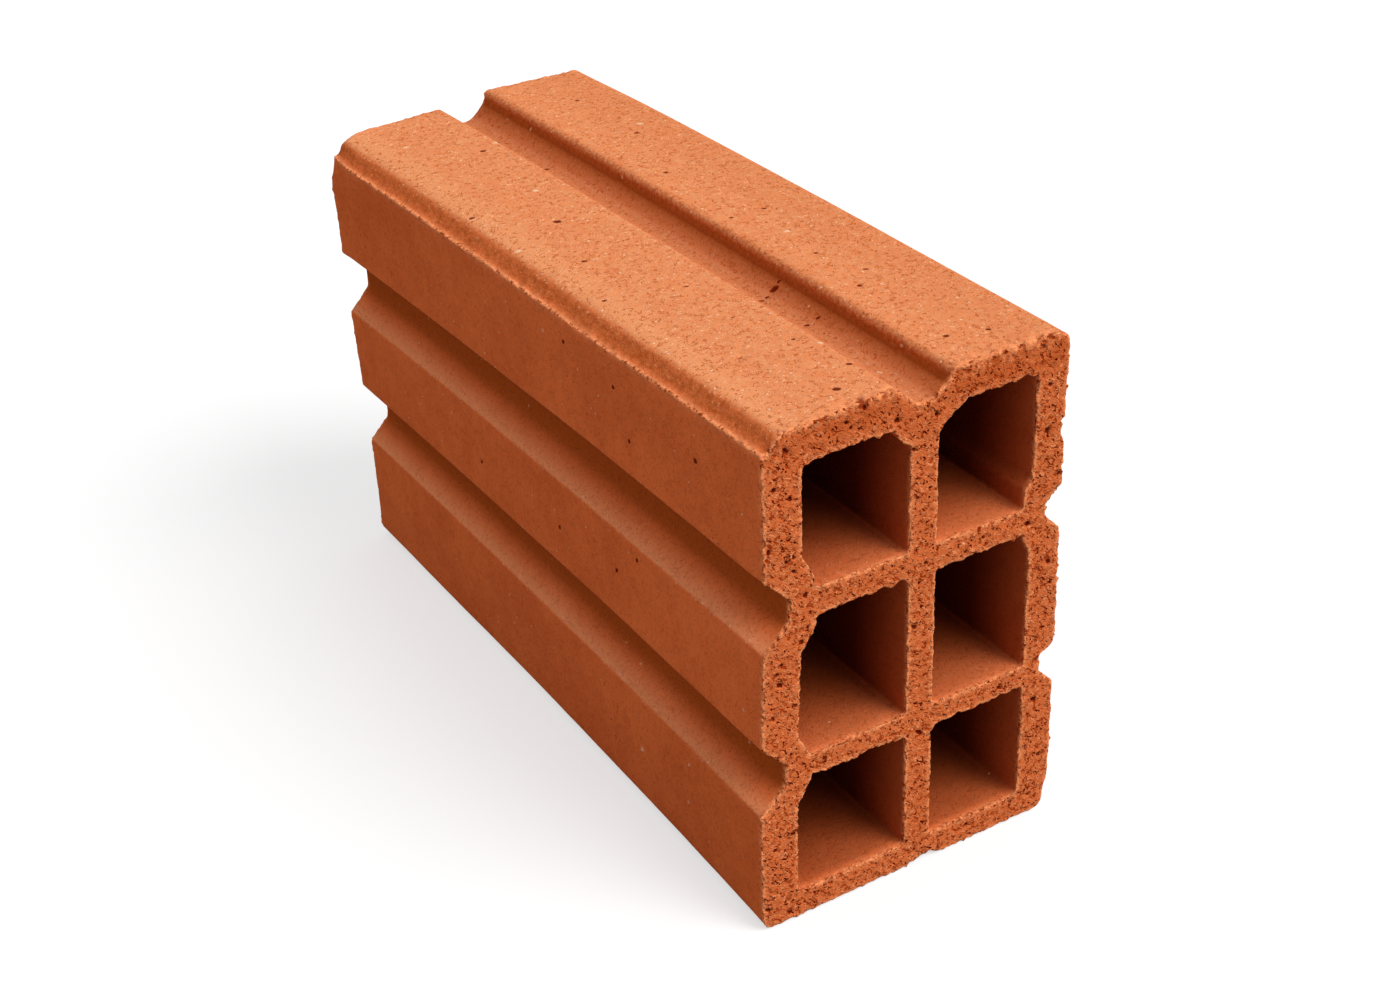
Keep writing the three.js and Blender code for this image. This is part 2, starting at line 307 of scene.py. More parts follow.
class Outline:
    """One closed outline of the section, walked with the clay on the left."""

    def __init__(self, corners, ring):
        self.ring = ring
        places, _ = evenly(flowing(corners, OUTLINE_STEP), OUTLINE_STEP)
        places = blurred(places, OUTLINE_BLUR / OUTLINE_STEP)
        self.places, self.length = evenly(places, OUTLINE_STEP)
        step = self.length / len(self.places)
        self.runs = np.arange(len(self.places)) * step
        ahead = np.roll(self.places, -1, 0) - np.roll(self.places, 1, 0)
        ahead = blurred(ahead / np.hypot(*ahead.T)[:, None], 2)
        ahead /= np.hypot(*ahead.T)[:, None]
        self.out = np.stack([ahead[:, 1], -ahead[:, 0]], 1)
        after = np.roll(ahead, -1, 0)
        turn = np.arctan2(ahead[:, 0] * after[:, 1] - ahead[:, 1] * after[:, 0],
                          (ahead * after).sum(1))
        self.bend = blurred(turn / step, 2)

    def at(self, run, values):
        """The outline's values (places, out or bend) at these runs."""
        if values.ndim == 2:
            return np.stack([self.at(run, column) for column in values.T], 1)
        return np.interp(run, self.runs, values, period=self.length)

    def columns(self, span):
        """Runs from 0 to the full length: close where the outline bends, else a span apart."""
        cost = np.minimum(np.abs(self.bend) / MOST_TURN + 1 / span, 1 / LEAST_SPAN)
        total = np.concatenate([[0], np.cumsum(cost) * self.length / len(cost)])
        stations = np.linspace(0, total[-1], math.ceil(total[-1]) + 1)
        return np.interp(stations, total, np.append(self.runs, self.length))

    def nearest(self, x, z):
        """The run of the outline's place nearest to a point of the section."""
        return self.runs[np.argmin((self.places[:, 0] - x) ** 2 + (self.places[:, 1] - z) ** 2)]


def split(runs, most):
    """The runs with more between them, so that none are further apart than most."""
    made = [runs[:1]]
    for a, b in zip(runs, runs[1:]):
        count = max(math.ceil((b - a) / most - 1e-6), 1)
        made.append(np.linspace(a, b, count + 1)[1:])
    return np.concatenate(made)


# ---- the nets

def spot_points(marks, rng):
    """The points of pits or crumbs, and how sunk and how dark or pale each one is."""
    places, sunk, tone = [], [], []
    for spot in marks:
        lead = np.array([math.cos(spot.angle), math.sin(spot.angle)])
        side = np.array([-lead[1], lead[0]])
        turn = rng.uniform(0, math.tau)
        for reach, count, share in SPOT_RINGS:
            for k in range(count):
                a = turn + math.tau * k / count
                r = spot.radius * reach * rng.uniform(0.8, 1.2)
                offset = r * (spot.stretch * math.cos(a) * lead + math.sin(a) * side)
                places.append(np.array([spot.u, spot.v]) + offset)
                sunk.append(share * spot.depth)
                tone.append(share * spot.tone)
    return np.array(places).reshape(-1, 2), np.array(sunk), np.array(tone)


def at_end(values, number):
    """This many values, 0 up to the given ones."""
    return np.append(np.zeros(number - len(values)), values)


def clear_of(points, marks):
    """Which of the points lie clear of every spot."""
    free = np.ones(len(points), bool)
    for spot in marks:
        away = np.hypot(points[:, 0] - spot.u, points[:, 1] - spot.v)
        free &= away > spot.radius * SPOT_CLEARANCE * max(spot.stretch, 1)
    return free


def triangles(points, edges):
    """Delaunay triangles of the points, as rows of three of their indices."""
    result = delaunay_2d_cdt([Vector(p) for p in points], edges, [], 0, 1e-7)
    source = [orig[0] if orig else -1 for orig in result[3]]
    return np.array([[source[v] for v in face] for face in result[2]])


class Net:
    """The brick's triangles, and its points with all that is known of each one's place."""

    FIELDS = "x z y nx nz run ring bend inset depth end sunk tone".split()

    def __init__(self):
        self.fields = {name: [] for name in self.FIELDS}
        self.faces, self.corners, self.count = [], [], 0

    def add(self, number, **values):
        """Adds points and returns their indices."""
        for name in self.FIELDS:
            self.fields[name].append(np.zeros(number) + values[name])
        self.count += number
        return np.arange(self.count - number, self.count)

    def weave(self, faces, corners):
        """Adds triangles, with the place of each corner in the flat pattern."""
        self.faces.append(faces)
        self.corners.append(corners)

    def done(self):
        """The points, with each field as one array."""
        fields = {name: np.concatenate(parts) for name, parts in self.fields.items()}
        return SimpleNamespace(**fields, outer=fields["ring"] == 0)


def on_sheet(corners, scale, at):
    """A net's flat triangles at this scale, with their low corner here."""
    return (corners - corners.reshape(-1, 2).min(0)) * scale + at


def sheet_places(net):
    """Where each triangle's corners lie on the texture's square sheet, from 0 to 1.

    The outer skin is along its foot, with the two cut ends and then the six cells above it."""
    skin, cells, ends = net.corners[0], net.corners[1:-2], net.corners[-2:]
    low = np.ptp(skin.reshape(-1, 2), axis=0)[1] + SHEET_GAP
    laid = [on_sheet(skin, 1, (0, 0))]
    sizes = [np.ptp(cell.reshape(-1, 2), axis=0) for cell in cells]
    wide, high = CELL_SCALE * np.max(sizes, 0) + SHEET_GAP
    end_wide = END_SCALE * np.ptp(ends[0].reshape(-1, 2), axis=0)[0] + SHEET_GAP
    laid += [on_sheet(cell, CELL_SCALE, (2 * end_wide + n % 3 * wide, low + n // 3 * high))
             for n, cell in enumerate(cells)]
    laid += [on_sheet(cut, END_SCALE, (n * end_wide, low)) for n, cut in enumerate(ends)]
    places = np.concatenate(laid).reshape(-1, 2)
    return places / places.max()


def row_of(runs, y):
    """Points at these runs, all at one y."""
    return np.stack([runs, np.full(len(runs), y)], 1)


def skin_rows(outline, base, row_step):
    """Points of the skin laid flat: the front ring's, the back ring's and all between."""
    rows = {-HALF_LENGTH: FRONT_GRAIN, HALF_LENGTH: BACK_GRAIN}
    rows.update({-HALF_LENGTH + d: step for d, step in FRONT_ROWS})
    rows.update({HALF_LENGTH - d: step for d, step in BACK_ROWS})
    first, last = -HALF_LENGTH + FRONT_ROWS[-1][0], HALF_LENGTH - BACK_ROWS[-1][0]
    middle = np.linspace(first, last, round((last - first) / row_step) + 1)[1:-1]
    front, back, *inner = [row_of(split(base, step), y) for y, step in rows.items()]
    inner += [row_of(base, y) for y in middle]
    if outline.ring == 0:
        inner.append(rim_points(outline, base, middle, first, last))
    return front, back, np.concatenate(inner)


def rim_points(outline, base, middle, first, last):
    """Closer rows along the sharp outward bends, where the arris is nicked."""
    bent = outline.at(base, outline.bend) > RIM_BEND
    bent |= np.append(bent[1:], False) | np.insert(bent[:-1], 0, False)
    sharp = base[bent & (base > 0) & (base < outline.length)]
    rows = np.arange(first + RIM_ROW, last, RIM_ROW)
    rows = rows[np.min(np.abs(rows[:, None] - middle[None, :]), 1) > 0.3 * RIM_ROW]
    run, y = np.meshgrid(sharp, rows)
    return np.stack([run.ravel(), y.ravel()], 1)


def skin_edges(flat, n_front, n_back, length):
    """The edges of both end rings and of the seam's two sides, and the points of those sides."""
    left, right = np.flatnonzero(flat[:, 0] <= 0), np.flatnonzero(flat[:, 0] >= length)
    left, right = left[np.argsort(flat[left, 1])], right[np.argsort(flat[right, 1])]
    edges = [(k, k + 1) for k in range(n_front + n_back - 1) if k != n_front - 1]
    for side in (left.tolist(), right.tolist()):
        edges += list(zip(side[:-1], side[1:]))
    return edges, left, right


def skin_net(net, outline, span, row_step, marks, rng):
    """The skin along one outline. Returns its rings of points at the front and at the back."""
    front, back, inner = skin_rows(outline, outline.columns(span), row_step)
    n_front, n_back = len(front), len(back)
    inner = inner[clear_of(inner, marks) | (inner[:, 0] <= 0) | (inner[:, 0] >= outline.length)]
    extra, sunk, tone = spot_points(marks, rng)
    flat = np.concatenate([front, back, inner, extra])
    edges, left, right = skin_edges(flat, n_front, n_back, outline.length)
    faces = triangles(flat, edges)[:, ::-1]

    kept = np.ones(len(flat), bool)
    kept[right] = False
    run, y = flat[kept, 0], flat[kept, 1]
    places, out = outline.at(run, outline.places), outline.at(run, outline.out)
    index = np.empty(len(flat), int)
    index[kept] = net.add(
        kept.sum(), x=places[:, 0], z=places[:, 1], y=y, nx=out[:, 0], nz=out[:, 1], run=run,
        ring=outline.ring, bend=outline.at(run, outline.bend), inset=0,
        depth=HALF_LENGTH - np.abs(y), end=np.where(y < 0, FRONT, BACK),
        sunk=at_end(sunk, len(flat))[kept], tone=at_end(tone, len(flat))[kept])
    index[right] = index[left]
    net.weave(index[faces], flat[faces])
    return index[:n_front - 1], index[n_front:n_front + n_back - 1]


def inside_clay(points, polygons):
    """Which points of the section lie in the clay, by the outlines crossed on the way out."""
    inside = np.zeros(len(points), bool)
    a = np.concatenate(polygons)
    b = np.concatenate([np.roll(polygon, -1, 0) for polygon in polygons])
    drop = np.where(b[:, 1] == a[:, 1], 1, b[:, 1] - a[:, 1])
    for some in np.array_split(np.arange(len(points)), len(points) // MOST_AT_ONCE + 1):
        x, z = points[some, :1], points[some, 1:]
        at = a[:, 0] + (z - a[:, 1]) * (b[:, 0] - a[:, 0]) / drop
        crossed = ((a[:, 1] > z) != (b[:, 1] > z)) & (x < at)
        inside[some] = crossed.sum(1) % 2 == 1
    return inside


def end_net(net, outlines, rings, end, grain, pores, rng):
    """One cut end between its rings of points."""
    known, near = net.done(), NearestPlaces(outlines)
    joined = np.concatenate(rings)
    # The outlines are taken as the triangulation reads them, in single precision.
    border = np.stack([known.x, known.z], 1)[joined].astype(np.float32).astype(float)
    polygons, edges, start = [], [], 0
    for ring in rings:
        polygons.append(border[start:start + len(ring)])
        edges += [(start + k, start + (k + 1) % len(ring)) for k in range(len(ring))]
        start += len(ring)

    lining = np.stack([known.x - known.nx * LINING * grain, known.z - known.nz * LINING * grain], 1)
    added, sunk, tone = end_points(lining[joined], polygons, near, grain, pores, rng)
    flat = np.concatenate([border, added])
    faces = triangles(flat, edges)
    faces = faces[inside_clay(flat[faces].mean(1), polygons)]
    if end == BACK:
        faces = faces[:, ::-1]
    at = near.index(added)
    index = np.concatenate([joined, net.add(
        len(added), x=added[:, 0], z=added[:, 1], y=end * HALF_LENGTH, nx=near.out[at, 0],
        nz=near.out[at, 1], run=near.run[at], ring=near.ring[at], bend=near.bend[at],
        inset=near.distance(added), depth=0, end=end,
        sunk=at_end(sunk, len(added)), tone=at_end(tone, len(added)))])
    net.weave(index[faces], flat[faces])


def end_points(lining, polygons, near, grain, pores, rng):
    """The points inside a cut end: its rims' lining, an open grid and, last, those of the pores.

    Also how sunk and how dark those last ones are."""
    grid = honeycomb(polygons[0].min(0), polygons[0].max(0), grain, rng)
    grid = grid[inside_clay(grid, polygons)]
    grid = grid[near.distance(grid) > GRID_CLEARANCE * grain]
    plain = np.concatenate([lining, grid])
    plain = plain[clear_of(plain, pores)]
    extra, sunk, tone = spot_points(pores, rng)
    held = inside_clay(extra, polygons)
    held[held] = near.distance(extra[held]) > PORE_CLEARANCE * grain
    return np.concatenate([plain, extra[held]]), sunk[held], tone[held]


def honeycomb(low, high, grain, rng):
    """Jittered points of a six-sided grid over a rectangle."""
    rows = np.arange(low[1], high[1], grain * math.sqrt(3) / 2)
    x, z = np.meshgrid(np.arange(low[0], high[0], grain), rows)
    x = x + (np.arange(len(rows)) % 2)[:, None] * grain / 2
    return np.stack([x.ravel(), z.ravel()], 1) + rng.uniform(-JITTER, JITTER, (x.size, 2)) * grain


class NearestPlaces:
    """Finds the nearest place of any outline."""

    def __init__(self, outlines):
        self.place, self.run, self.out, self.bend = (
            np.concatenate([getattr(outline, name) for outline in outlines])
            for name in ("places", "runs", "out", "bend"))
        self.ring = np.repeat([o.ring for o in outlines], [len(o.runs) for o in outlines])
        self.tree = kdtree.KDTree(len(self.place))
        for i, (x, z) in enumerate(self.place):
            self.tree.insert((x, z, 0), i)
        self.tree.balance()

    def index(self, points):
        """Which outline place is nearest to each point."""
        return np.array([self.tree.find((x, z, 0))[1] for x, z in points], int)

    def distance(self, points):
        """How far that place is."""
        return np.hypot(*(points - self.place[self.index(points)]).T)


# ---- pits, crumbs and pores

def random_spots(rng, kind, low, high, angle=None):
    """Spots of one kind thrown over a rectangle, at about this angle or at any."""
    made = []
    for _ in range(kind.number):
        radius = kind.radius[0] + (kind.radius[1] - kind.radius[0]) * rng.random() ** 2
        made.append(Spot(rng.uniform(low[0], high[0]), rng.uniform(low[1], high[1]), radius,
                         rng.uniform(*kind.depth) * radius, kind.tone, rng.uniform(1, kind.stretch),
                         rng.uniform(0, math.pi) if angle is None else angle + rng.normal(0, 0.3)))
    return made


def apart(candidates, kept):
    """The kept spots, and the candidates that touch none of the spots before them."""
    made = list(kept)
    for spot in candidates:
        if all(math.hypot(spot.u - other.u, spot.v - other.v)
               > SPOT_GAP * (spot.radius * spot.stretch + other.radius * other.stretch)
               for other in made):
            made.append(spot)
    return made


def skin_marks(outline, rng):
    """The listed marks of the outer skin, and many small seeded ones."""
    listed = [Spot(outline.nearest(mark.x, mark.z), mark.y - HALF_LENGTH, MARK_WIDTH * mark.radius,
                   mark.depth, mark.tone, MARK_STRETCH, MARK_ANGLE)
              for mark in (Mark(*row) for row in SKIN_MARKS)]
    low, high = -HALF_LENGTH + END_MARGIN, HALF_LENGTH - END_MARGIN
    field = (SEAM_MARGIN, low), (outline.length - SEAM_MARGIN, high)
    seeded = random_spots(rng, SKIN_PITS, *field) + random_spots(rng, SKIN_CRUMBS, *field)
    for x, z in CRUMB_LINES:
        run = outline.nearest(x, z)
        seeded += random_spots(rng, LINE_CRUMBS, (run - 1.0, low), (run + 1.0, high))
    return apart(seeded, listed)


def end_marks(rng, listed=()):
    """Pores of a cut end, the listed ones and many seeded, drawn out the way the wire went."""
    listed = [Spot(*pore, -1, PORE_STRETCH, WIRE_ANGLE) for pore in listed]
    return apart(random_spots(rng, END_PORES, *PORE_FIELD, WIRE_ANGLE), listed)


# ---- relief

def rim_noise(p, seed, size, away=0.0, strides=RIM_STRIDES):
    """Noise along the rims, of this size; each ring and each end has its own."""
    return noise(seed, p.run / size, away + p.ring * strides[0], p.end * strides[1])


def arris_radius(p, torn):
    """The radius of the cut ends' arrises: less where torn, and more where chipped or worn."""
    radius = np.where(p.outer, OUTER_ARRIS, CELL_ARRIS)
    radius = radius + 0.2 * rim_noise(p, 11, 2.4, strides=ARRIS_STRIDES) - 0.15 * torn
    chips = np.maximum(rim_noise(p, 12, 8, strides=ARRIS_STRIDES) - 0.62, 0)
    radius = np.clip(radius + 2.2 * chips, LEAST_ARRIS, MOST_ARRIS)
    at_back = p.end == BACK
    corner = at_back * p.outer * ease(-p.x, 34, 41) * ease(p.z, 126, 136)
    return radius + BACK_ARRIS_WEAR * at_back + CORNER_ARRIS_WEAR * corner


def worn_arris(p, radius):
    """Rounds the arrises of the cut ends: moves each point's inset and depth on to an arc."""
    on_end = p.depth <= 0
    reach = np.where(on_end, p.inset, p.depth) / radius
    angle = math.pi / 4 * np.where(on_end, 1 + reach, 1 - reach)
    near = reach < 1
    inset = np.where(near, radius * (1 - np.cos(angle)), p.inset)
    depth = np.where(near, radius * (1 - np.sin(angle)), p.depth)
    return inset, depth


def ragged_walls(p):
    """How far the wire dragged the cells' rims in or out, most at their ceilings."""
    ceiling = ease(-p.nz, 0.4, 0.9) * (p.ring > 0)
    ragged = 0.5 * rim_noise(p, 21, 2.7) + 0.4 * rim_noise(p, 22, 1.2)
    fading = np.exp(-(p.depth + 2.2 * p.inset) / 3.5)
    return (WALL_RAGGED + CEILING_RAGGED * ceiling) * ragged * fading


def torn_rims(p, torn):
    """The teeth along every rim, and the fringe and burr where the wire left the clay."""
    away = p.depth + p.inset
    wear = np.where(p.end == BACK, BACK_WEAR, 1)
    burst = 0.35 + 0.95 * ease(rim_noise(p, 53, 3.1), -0.35, 0.55)
    teeth = 0.75 * rim_noise(p, 51, 1.3, away / 0.9) + 0.55 * rim_noise(p, 52, 0.6, away / 0.6)
    teeth = teeth * np.exp(-away / 0.7) * burst * wear
    land = ease(p.nz, 0.8, 0.98) * p.outer * ease(p.z, *TOP_LANDS)
    fringe = torn * (1 + 1.6 * land) * np.exp(-away / (0.7 + 1.3 * land)) * wear
    burr = rim_noise(p, 23, 0.85, away / 0.8) + 0.6 * rim_noise(p, 24, 3.5)
    return teeth, fringe, burr


def skin_waves(p):
    """The skin's slight unevenness, away from the ends."""
    waves = sum(height * noise(seed, p.run / across, p.y / along, p.ring * RIM_STRIDES[0])
                for seed, across, along, height in SKIN_WAVES)
    return ease(p.depth, 0.5, 6) * waves


def nicks(p):
    """How deeply the long arrises are nicked, as a share."""
    ring = p.ring * RIM_STRIDES[0]
    fine = noise(34, p.run / 1.3, p.y / 2.2, ring)
    return np.clip(fine + 0.5 * noise(35, p.run / 2.5, p.y / 5, ring), -0.5, 1.2)


def dragged_clay(p):
    """The grain and the swell that the wire left on the cut ends, drawn out along its way."""
    along = p.x * WIRE_WAY[0] + p.z * WIRE_WAY[1]
    across = p.z * WIRE_WAY[0] - p.x * WIRE_WAY[1]
    end = p.end * RIM_STRIDES[1]
    grain = (noise(41, along / 1.8, across / 0.95, end)
             + 0.5 * noise(72, 2 * (along / 1.8), 2 * (across / 0.95), 2 * end)
             + 0.7 * noise(43, p.x / 1.1, p.z / 1.1, end))
    swell = noise(44, along / 30, across / 14, end)
    return ease(p.inset, 0, 0.6) * (CUT_GRAIN * grain + CUT_SWELL * swell)


def relief(p):
    """The fired surface: each point's place in mm, and the grades that the material reads there."""
    on_end = p.depth <= 0
    torn = np.clip(p.nx * WIRE_WAY[0] + p.nz * WIRE_WAY[1], 0, 1)
    radius = arris_radius(p, torn)
    inset, depth = worn_arris(p, radius)
    teeth, fringe, burr = torn_rims(p, torn)
    arris = ease(p.bend, RIM_BEND, 1.0) * ease(p.depth, 0, 3) * p.outer
    crest = lip_part(p, 43, 44, 45, 46)

    out = p.inset - inset + ragged_walls(p) + TEETH_OUT * teeth
    out = out + FRINGE_OUT * fringe * np.clip(burr, -0.6, 1) + skin_waves(p)
    out = out - arris * (ARRIS_NICK + CREST_NICK * crest) * nicks(p) - np.where(on_end, 0, p.sunk)
    into = depth - FRINGE_IN * fringe * np.clip(burr, -0.8, 1) + TEETH_IN * teeth
    into = into + np.where(on_end, dragged_clay(p) + p.sunk, 0)

    x, z = fired_bend(p.x + p.nx * out, p.y, p.z + p.nz * out)
    near_end = p.depth < FRONT_ROWS[-1][0] - 0.1
    y = np.where(near_end, p.end * (HALF_LENGTH - into), p.y)
    grades = {
        "cut": np.where(on_end, 1, 1 - ease(p.depth, 0.35 * radius, 0.35 * radius + 0.5)),
        "torn": np.clip(fringe * (0.1 + 1.3 * burr) + 0.5 * teeth, -1, 1),
        "rim": np.exp(-((p.depth + p.inset) / 0.9) ** 2),
        "worn": arris * np.maximum(crest, 0.4 * (p.z < HEIGHT - 12)) + 0.3 * cheek_lip(p),
        "hollow": hollow(p),
        "dust_and_painted_light": dust_and_painted_light(p),
        "painted_shade": painted_shade(p),
        "painted_lip_highlight": painted_lip_highlight(p),
        "streaky_band_and_shade": lip_part(p, 39.0, 41.3, 43.0, 44.8),
        "painted_shoulder_highlight": lip_part(p, 30, 36, 39.2, 41.0),
        "ripped": on_end * ease(p.z, HEIGHT - 11, HEIGHT - 6),
        "dark": np.clip(-p.tone, 0, 1),
        "pale": np.clip(p.tone, 0, 1),
    }
    return np.stack([x, y, z], 1), grades


def fired_bend(x, y, z):
    """The places on the section after the block's own bend."""
    back = (y / HALF_LENGTH + 1) / 2
    bow = 1 - (y / HALF_LENGTH) ** 2
    foot = LEFT_FOOT[0] + (LEFT_FOOT[1] - LEFT_FOOT[0]) * back
    head = LEFT_HEAD[0] + (LEFT_HEAD[1] - LEFT_HEAD[0]) * back
    high = ease(z, 25, 110)
    moved = x + ease(-x, 8, 30) * (foot + (head - foot) * high) + BOW_RIGHT * bow
    moved = moved + ease(x, 34, 41) * RIGHT_LEAN * (1 - 2 * high)
    raised = z + BOW_UP * bow * ease(z, -40, HEIGHT)
    raised = raised + LAND_RISE * back * ease(z, 100, 140) * ease(x, 0, 10)
    lip = ease(y, -HALF_LENGTH, -0.3 * HALF_LENGTH) * ease(-x, 36, 41) * ease(z, 115, 135)
    corner = ease(y, HALF_LENGTH - 16, HALF_LENGTH) * ease(-x, 38, 44) * ease(z, 124, 136)
    return moved + LIP_SHIFT[0] * lip + CORNER_WEAR * corner, raised + LIP_SHIFT[1] * lip


# The grades. Each ease or fade is given the places, or the parts of the outward way (nx, nz),
# between which it sets in.

def side_groove(p):
    """How far in from the side of the block each point of the outer skin lies, below its top."""
    below = fade(p.z, HEIGHT - 12, HEIGHT - 6) * ease(p.z, 3, 6)
    return p.outer * below * (HALF_WIDTH - np.abs(p.x))


def top_cheek(p):
    """1 from the floor of the top's groove up its right side and over its lip."""
    high = p.outer * ease(p.z, *TOP_GROOVE)
    return high * ease(p.x, -4, -2) * fade(p.x, 9.4, 10.6)


def cheek_lip(p):
    """1 over the crumbling lip on the right of the top's groove."""
    return top_cheek(p) * ease(p.x, 7.8, 8.4) * ease(p.z, HEIGHT - 2.6, HEIGHT - 1.6)


def lip_part(p, start, near, far, stop):
    """1 over a part of the top left lip, between these distances from the middle of the width."""
    out = -p.x
    high = p.outer * ease(p.z, HEIGHT - 8, HEIGHT - 7)
    return high * ease(out, start, near) * fade(out, far, stop)


def painted_shade(p):
    """How much painted shade the outer skin gets: 1 in the bottom of a deep groove, less in the
    top's groove.

    The top's right-hand side and the left foot near the front get a little painted shade too."""
    inner = side_groove(p)
    side = ease(inner, 3.4, 7.4) + ease(inner, 0.3, 2) * ease(-p.nz, 0.2, 0.5)
    steep = ease(-p.nx, 0.3, 0.8) * fade(p.z, HEIGHT - 2.6, HEIGHT - 0.4)
    land = ease(p.nz, 0.8, 0.95) * ease(p.x, 14, 34) * ease(p.z, HEIGHT - 2, HEIGHT - 1)
    foot = ease(-p.x, 30, 36) * fade(p.z, 30, 46) * fade(p.y, -95, -30)
    deeper = p.outer * (0.12 * land + 0.17 * foot)
    return np.clip(side + top_cheek(p) * (0.28 + 0.70 * steep) + deeper, 0, 1)


def dust_and_painted_light(p):
    """How dusty the skin is, with painted light on its upward faces: the top's lands, the floor of
    its groove, the floors of the cells.
    """
    lip = ease(p.x, 5, 7) * fade(p.x, 12, 14) * ease(p.z, HEIGHT - 4, HEIGHT - 2)
    land = np.maximum(ease(p.nz, 0.55, 0.9), lip * ease(p.nz, -0.1, 0.35))
    groove_floor = ease(p.z, *TOP_GROOVE) * ease(p.nz, 0.4, 0.7) * ease(p.x, -12, -8)
    outer = 0.25 * land + 0.75 * land * ease(p.z, *TOP_LANDS) + 0.75 * groove_floor
    cell = (0.20 + 0.14 * ease(p.z, 20, 50)) * ease(p.nz, 0.6, 0.9) * fade(p.depth, 1, 26)
    return np.clip(np.where(p.outer, outer, cell), 0, 1)


def painted_lip_highlight(p):
    """How much painted highlight the skin gets: the lower lips of the side grooves, the crest of
    the top left lip.
    """
    inner = side_groove(p)
    lips = ease(p.nz, 0.3, 0.6) * fade(inner, 0.3, 4.6) * ease(inner, 0.0, 0.15)
    crest = lip_part(p, 42.6, 44.6, 45, 46) * ease(p.nz, -0.1, 0.2)
    return lips + crest


def hollow(p):
    """How much painted shade a cell gets: more with depth, and from the start on the wall that the
    light passes.

    The top's groove gets a little painted shade too, at its foot and on its floor."""
    shaded = ease(-p.nx, 0.6, 0.9)
    open_wall = 0.88 * (1 - np.exp(-(np.maximum(p.depth, 0) / 15) ** 1.3))
    shaded_wall = 0.45 + 0.55 * ease(p.depth, -2, 26)
    dark = open_wall + (shaded_wall - open_wall) * shaded
    # more painted shade on the cells' floors, most in the lower cells
    low_floor = (0.12 + 0.28 * fade(p.z, 30, 60)) * ease(p.nz, 0.3, 0.8) * ease(p.depth, 0, 4)
    foot = ease(-p.nx, 0.5, 0.8) * fade(p.z, HEIGHT - 4, HEIGHT - 2)
    groove = top_cheek(p) * (0.28 * foot + 0.13 * ease(p.nz, 0.8, 0.95) * fade(p.x, 4, 6))
    return np.where(p.ring > 0, dark + (1 - dark) * low_floor, groove)


# ---- the brick

def placed(name, data):
    """A new object of the scene."""
    made = bpy.data.objects.new(name, data)
    bpy.context.scene.collection.objects.link(made)
    return made


def brick_net(outlines):
    """The skins along all the outlines and the two cut ends, in one net."""
    net, rng = Net(), np.random.default_rng(SEED)
    outer, *cells = outlines
    rings = [skin_net(net, outer, OUTER_SPAN, OUTER_ROW, skin_marks(outer, rng), rng)]
    rings += [skin_net(net, cell, CELL_SPAN, CELL_ROW, [], rng) for cell in cells]
    front, back = zip(*rings)
    end_net(net, outlines, front, FRONT, FRONT_GRAIN, end_marks(rng, CUT_PORES), rng)
    end_net(net, outlines, back, BACK, BACK_GRAIN, end_marks(rng), rng)
    return net


def build_brick(node):
    """The whole brick as one closed mesh, standing on the floor."""
    net = brick_net([Outline(corners, ring) for ring, corners in enumerate(cut_outlines(node))])
    places, grades = relief(net.done())
    places[:, 2] -= places[:, 2].min()

    mesh = bpy.data.meshes.new("fired_brick")
    mesh.from_pydata((places * MM).tolist(), [], np.concatenate(net.faces).tolist())
    for name, values in grades.items():
        grade = mesh.attributes.new(name, "FLOAT", "POINT")
        grade.data.foreach_set("value", values.astype(np.float32))
    sheet = mesh.uv_layers.new(name="OFBake")
    sheet.uv.foreach_set("vector", sheet_places(net).astype(np.float32).ravel())
    mesh.shade_smooth()
    return placed("fired_brick", mesh)


# ---- nodes

